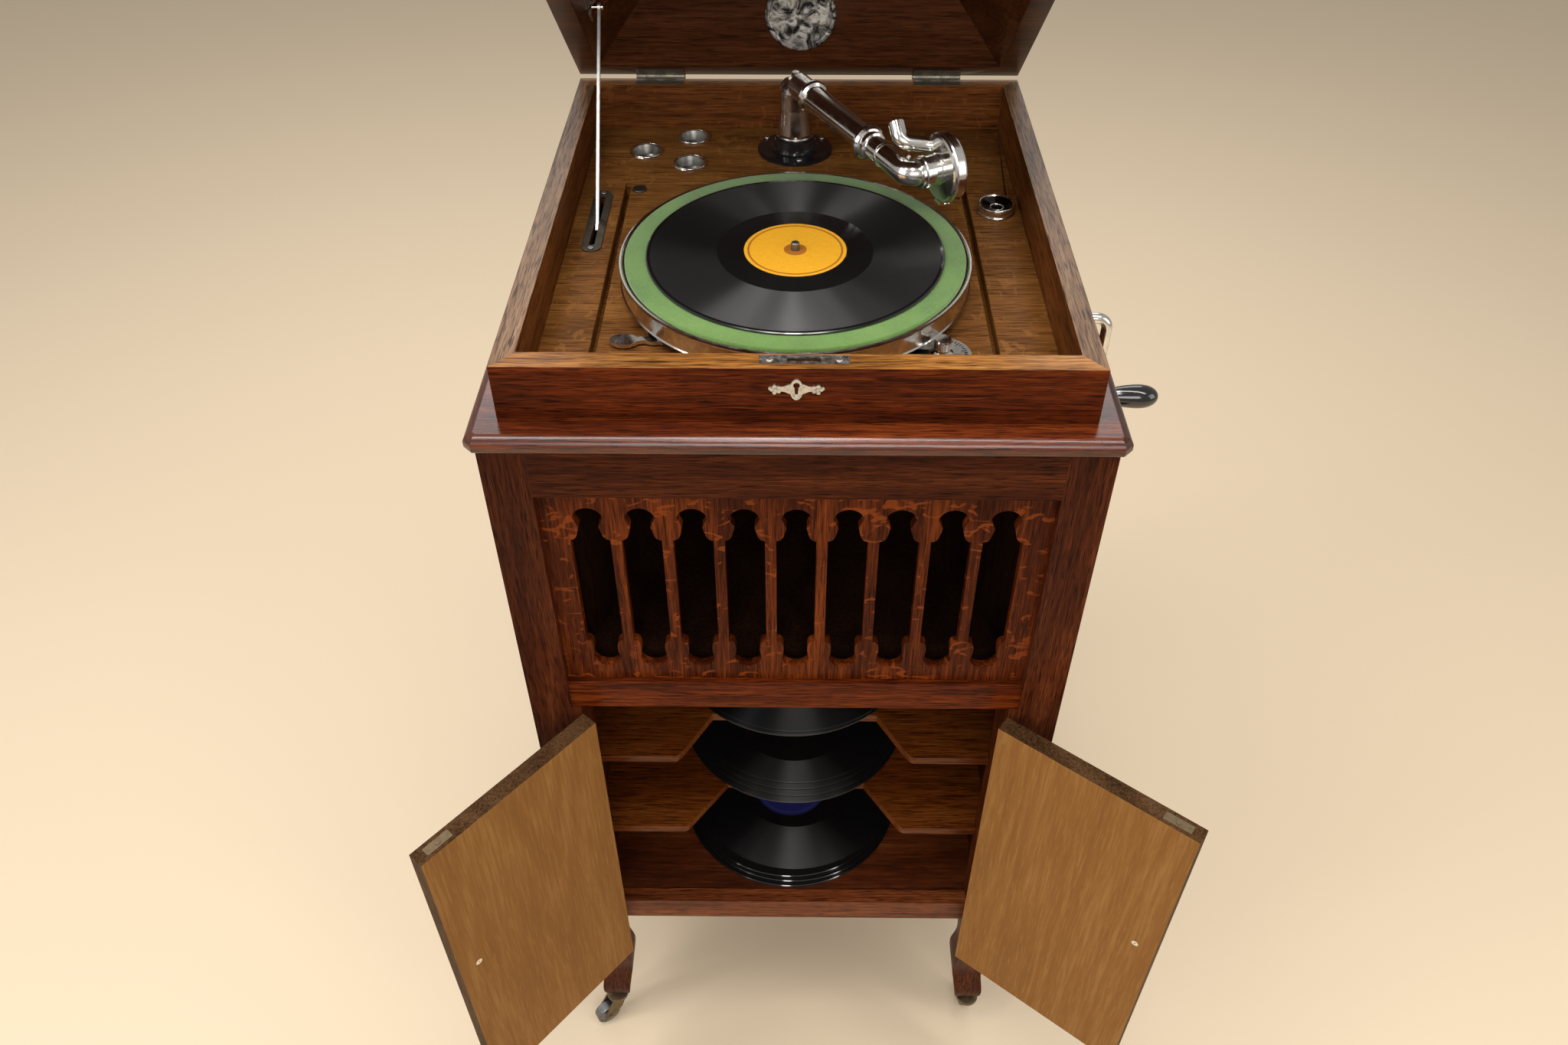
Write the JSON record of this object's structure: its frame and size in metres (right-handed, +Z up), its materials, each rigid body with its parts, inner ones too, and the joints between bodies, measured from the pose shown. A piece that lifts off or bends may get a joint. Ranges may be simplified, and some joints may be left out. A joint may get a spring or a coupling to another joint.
{
  "type": "wind-up phonograph",
  "caption": "Floor-standing wind-up phonograph in oak, with an open hipped lid, nickel tonearm, felt turntable, pierced grille and a record cabinet with open doors.",
  "frame": {"origin": "on the floor, on the cabinet's centre line, directly below the cabinet's front face", "axes": "+Z up, +X to the right seen from the front, +Y from the front to the back"},
  "size_m": [0.6793, 0.7108, 1.3826],
  "materials": {
    "oak_outer": "satin",
    "oak_deck": "satin",
    "oak_inner": "satin",
    "nickel": "polished",
    "brass": "aged",
    "steel": "brushed",
    "iron": "rough",
    "felt": "matte",
    "shellac": "gloss",
    "silvered": "aged",
    "black_lacquer": "gloss",
    "black_enamel": "gloss",
    "horn_wood": "matte"
  },
  "bodies": {
    "cabinet": {"posts": "oak_outer", "front_rails": "oak_outer", "side_panels": "oak_outer", "side_rails": "oak_outer", "compartment_liner": "oak_inner", "floor_board": "oak_inner", "back_panel": "oak_outer", "plinth": "oak_outer", "grille": "oak_outer", "horn": "horn_wood", "shelves": "oak_inner", "shelf_cleats": "oak_inner", "stored_records": "shellac", "box_walls": "oak_outer", "deck": "oak_deck", "motor_board": "oak_deck", "deck_fittings": "steel", "needle_cups": "nickel", "box_lock": "nickel", "hinges_fixed": "brass", "motor_frame": "iron", "crank_bushing": "nickel", "arm_flange": "black_enamel", "rest_hook": "iron", "speed_dial": "silvered"},
    "lid": {"lid": "oak_outer", "medallion": "silvered", "lid_hinges_moving": "brass", "stay_bracket": "nickel"},
    "lid_stay": {"lid_stay": "nickel"},
    "left_door": {"door_left": "oak_outer", "door_left_fittings": "brass"},
    "right_door": {"door_right": "oak_outer", "door_right_fittings": "brass"},
    "turntable": {"platter": "nickel", "felt": "felt", "record": "shellac", "spindle": "steel"},
    "spring_barrel": {"spring_barrel": "steel"},
    "governor": {"governor": "brass"},
    "crank": {"crank_rod": "nickel"},
    "crank_handle": {"crank_handle": "black_lacquer"},
    "tonearm": {"arm_column": "nickel", "arm_tube": "nickel"},
    "gooseneck": {"gooseneck": "nickel"},
    "sound_box": {"sound_box": "nickel", "second_throat": "nickel", "needle_chuck": "nickel"},
    "needle_screw": {"needle_screw": "nickel"},
    "brake_lever": {"brake_lever": "nickel"},
    "speed_knob": {"speed_knob": "nickel"},
    "caster_front_left": {"caster_front_left": "brass"},
    "wheel_front_left": {"wheel_front_left": "steel"},
    "caster_front_right": {"caster_front_right": "brass"},
    "wheel_front_right": {"wheel_front_right": "steel"},
    "caster_rear_left": {"caster_rear_left": "brass"},
    "wheel_rear_left": {"wheel_rear_left": "steel"},
    "caster_rear_right": {"caster_rear_right": "brass"},
    "wheel_rear_right": {"wheel_rear_right": "steel"}
  },
  "joints": [
    {"name": "lid_hinge", "type": "hinge", "parent": "cabinet", "child": "lid", "pos_m": [0, 0.5372, 1.013], "axis": [1, 0, 0], "range_deg": [0, 43]},
    {"name": "lid_stay_turn", "type": "hinge", "parent": "lid", "child": "lid_stay", "pos_m": [-0.1873, 0.45089, 1.11399], "axis": [1, 0, 0], "range_deg": [-51.6, 0]},
    {"name": "left_door_hinge", "type": "hinge", "parent": "cabinet", "child": "left_door", "pos_m": [-0.1975, -0.0036, 0.431], "axis": [0, 0, 1], "range_deg": [-30, 130]},
    {"name": "right_door_hinge", "type": "hinge", "parent": "cabinet", "child": "right_door", "pos_m": [0.1975, -0.0036, 0.431], "axis": [0, 0, 1], "range_deg": [-142.5, 20]},
    {"name": "turntable_spin", "type": "hinge", "parent": "cabinet", "child": "turntable", "pos_m": [-0.0025, 0.208, 1.012], "axis": [0, 0, 1], "continuous": true},
    {"name": "spring_barrel_spin", "type": "hinge", "parent": "cabinet", "child": "spring_barrel", "pos_m": [-0.04, 0.208, 0.92], "axis": [0, 0, 1], "continuous": true},
    {"name": "governor_spin", "type": "hinge", "parent": "cabinet", "child": "governor", "pos_m": [0.0225, 0.208, 0.92], "axis": [0, 0, 1], "continuous": true},
    {"name": "crank_turn", "type": "hinge", "parent": "cabinet", "child": "crank", "pos_m": [0.245, 0.212, 0.93], "axis": [1, 0, 0], "continuous": true},
    {"name": "crank_handle_spin", "type": "hinge", "parent": "crank", "child": "crank_handle", "pos_m": [0.3, 0.212, 0.844], "axis": [1, 0, 0], "continuous": true},
    {"name": "tonearm_swing", "type": "hinge", "parent": "cabinet", "child": "tonearm", "pos_m": [-0.0033, 0.465, 1.012], "axis": [0, 0, -1], "range_deg": [-22, 20]},
    {"name": "gooseneck_throwback", "type": "hinge", "parent": "tonearm", "child": "gooseneck", "pos_m": [0.06539, 0.33019, 1.0365], "axis": [0.454, -0.891, 0], "range_deg": [0, 110]},
    {"name": "sound_box_turn", "type": "hinge", "parent": "gooseneck", "child": "sound_box", "pos_m": [0.1056, 0.2756, 1.0365], "axis": [0.9063, 0.4226, 0], "range_deg": [0, 75]},
    {"name": "needle_screw_turn", "type": "hinge", "parent": "sound_box", "child": "needle_screw", "pos_m": [0.13714, 0.29031, 1.0029], "axis": [0.9063, 0.4226, 0], "continuous": true},
    {"name": "brake_lever_turn", "type": "hinge", "parent": "cabinet", "child": "brake_lever", "pos_m": [-0.121, 0.131, 0.9696], "axis": [0, 0, 1], "range_deg": [0, 8]},
    {"name": "speed_knob_turn", "type": "hinge", "parent": "cabinet", "child": "speed_knob", "pos_m": [0.1157, 0.1013, 0.9766], "axis": [0, 0, 1], "range_deg": [-120, 120]},
    {"name": "caster_front_left_swivel", "type": "hinge", "parent": "cabinet", "child": "caster_front_left", "pos_m": [-0.221, 0.021, 0.05], "axis": [0, 0, 1], "continuous": true},
    {"name": "wheel_front_left_roll", "type": "hinge", "parent": "caster_front_left", "child": "wheel_front_left", "pos_m": [-0.23578, 0.01073, 0.015], "axis": [0.5707, -0.8211, 0], "continuous": true},
    {"name": "caster_front_right_swivel", "type": "hinge", "parent": "cabinet", "child": "caster_front_right", "pos_m": [0.221, 0.021, 0.05], "axis": [0, 0, 1], "continuous": true},
    {"name": "wheel_front_right_roll", "type": "hinge", "parent": "caster_front_right", "child": "wheel_front_right", "pos_m": [0.22226, 0.03896, 0.015], "axis": [-0.9976, 0.0698, 0], "continuous": true},
    {"name": "caster_rear_left_swivel", "type": "hinge", "parent": "cabinet", "child": "caster_rear_left", "pos_m": [-0.221, 0.513, 0.05], "axis": [0, 0, 1], "continuous": true},
    {"name": "wheel_rear_left_roll", "type": "hinge", "parent": "caster_rear_left", "child": "wheel_rear_left", "pos_m": [-0.23659, 0.522, 0.015], "axis": [-0.5, -0.866, 0], "continuous": true},
    {"name": "caster_rear_right_swivel", "type": "hinge", "parent": "cabinet", "child": "caster_rear_right", "pos_m": [0.221, 0.513, 0.05], "axis": [0, 0, 1], "continuous": true},
    {"name": "wheel_rear_right_roll", "type": "hinge", "parent": "caster_rear_right", "child": "wheel_rear_right", "pos_m": [0.23, 0.52859, 0.015], "axis": [-0.866, 0.5, 0], "continuous": true}
  ],
  "couplings": [
    {"joint": "lid_stay_turn", "follows": "lid_hinge", "ratio": -1.2},
    {"joint": "spring_barrel_spin", "follows": "turntable_spin", "ratio": -0.25},
    {"joint": "governor_spin", "follows": "turntable_spin", "ratio": -4}
  ]
}
